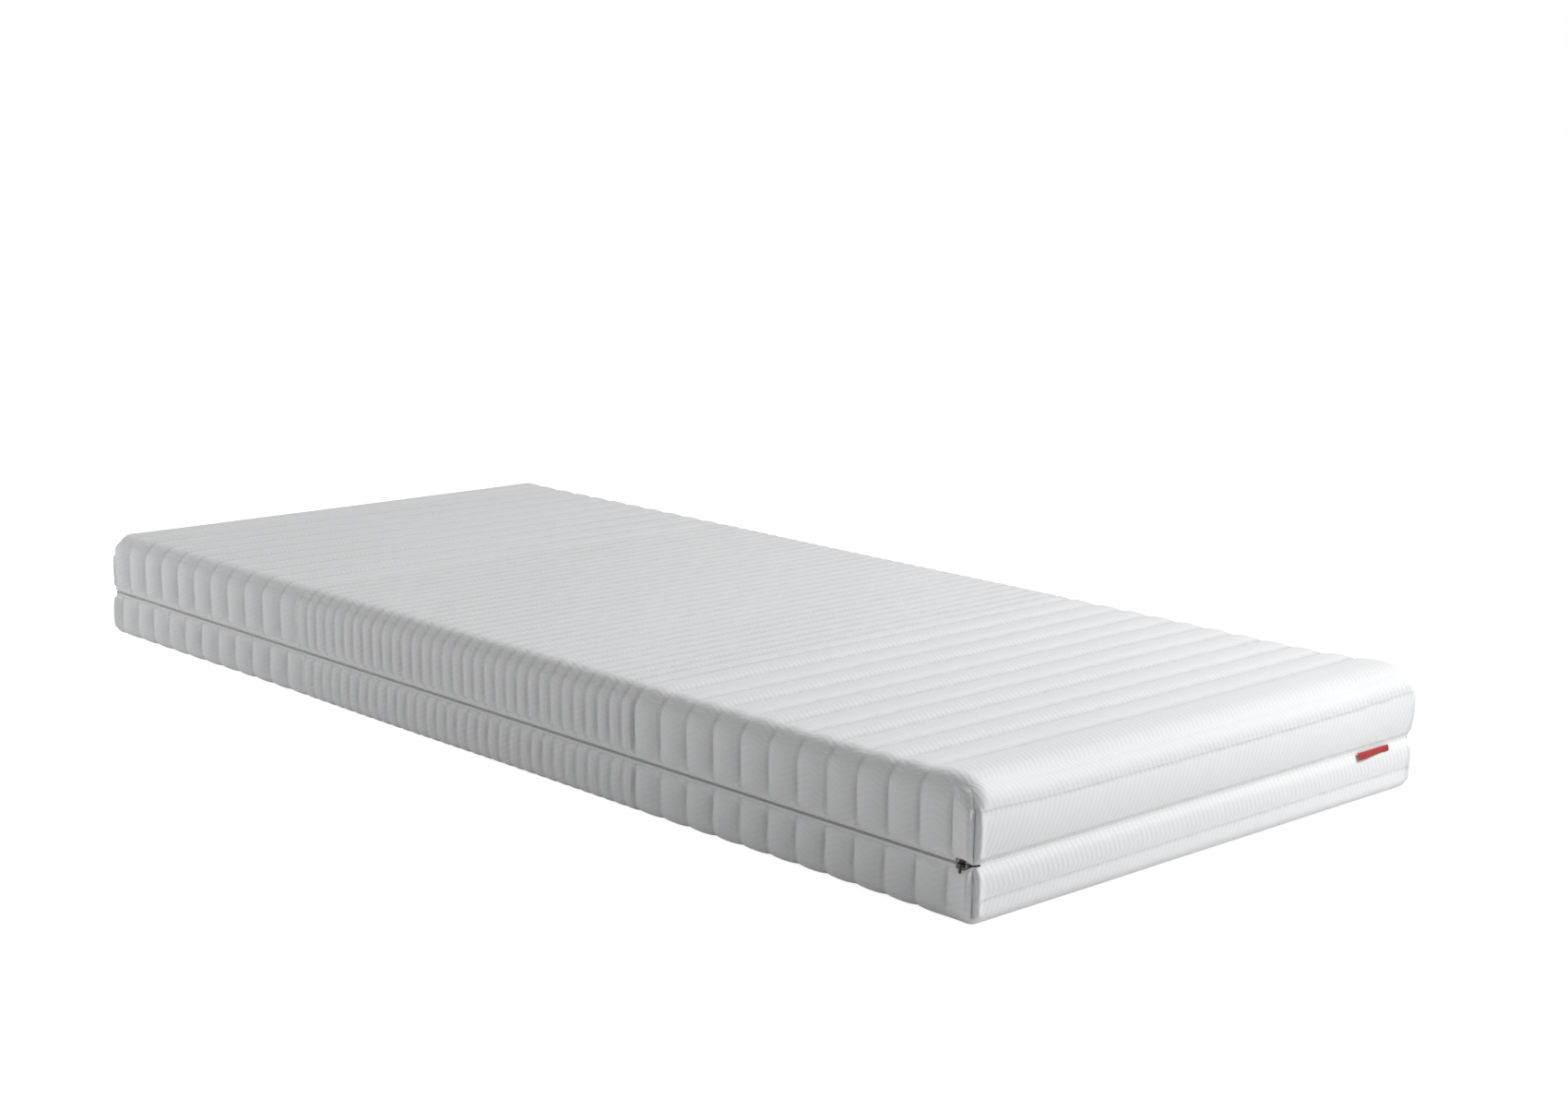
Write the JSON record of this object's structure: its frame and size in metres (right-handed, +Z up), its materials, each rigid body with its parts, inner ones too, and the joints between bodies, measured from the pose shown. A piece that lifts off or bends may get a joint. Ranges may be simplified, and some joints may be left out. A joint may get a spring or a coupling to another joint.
{
  "type": "memory foam mattress",
  "caption": "Single memory foam mattress with two foam layers in a channel-quilted cover that unzips round three sides.",
  "frame": {"origin": "under the middle of the mattress, on the surface it lies on", "axes": "+X along the mattress towards the end with the label, +Y across it, +Z up through the sleeping surface"},
  "size_m": [2, 0.9, 0.174],
  "materials": {
    "support_foam": "matte",
    "memory_foam": "matte",
    "ticking": "matte",
    "wadding": "matte",
    "lining": "matte",
    "tape": "matte",
    "coil": "satin",
    "label": "satin",
    "slider_metal": "satin"
  },
  "bodies": {
    "mattress": {"support_foam_core": "support_foam", "memory_foam_layer": "memory_foam", "bottom_cover_ticking": "ticking", "bottom_cover_wadding": "wadding", "bottom_cover_lining": "lining", "bottom_cover_hem": "ticking", "bottom_corner_seams": "lining", "zip_tape_lower": "tape", "zip_coil_lower": "coil", "zip_stops_lower": "coil", "end_seam_tape": "tape", "side_label": "label"},
    "upper_cover": {"top_cover_ticking": "ticking", "top_cover_wadding": "wadding", "top_cover_lining": "lining", "top_cover_hem": "ticking", "top_corner_seams": "lining", "zip_tape_upper": "tape", "zip_coil_upper": "coil", "zip_stops_upper": "coil"},
    "zip_slider": {"zip_slider_body": "slider_metal"},
    "zip_pull": {"zip_pull": "slider_metal"}
  },
  "joints": [
    {"name": "cover_opening", "type": "hinge", "parent": "mattress", "child": "upper_cover", "pos_m": [0.997, 0, 0.074], "axis": [0, 1, 0], "range_deg": [0, 120]},
    {"name": "slider_travel", "type": "slide", "parent": "mattress", "child": "zip_slider", "axis": [-1, 0, 0], "range_m": [0, 1.955]},
    {"name": "pull_swing", "type": "hinge", "parent": "zip_slider", "child": "zip_pull", "pos_m": [0.9775, -0.448, 0.074], "axis": [-1, 0, 0], "range_deg": [0, 160]}
  ]
}
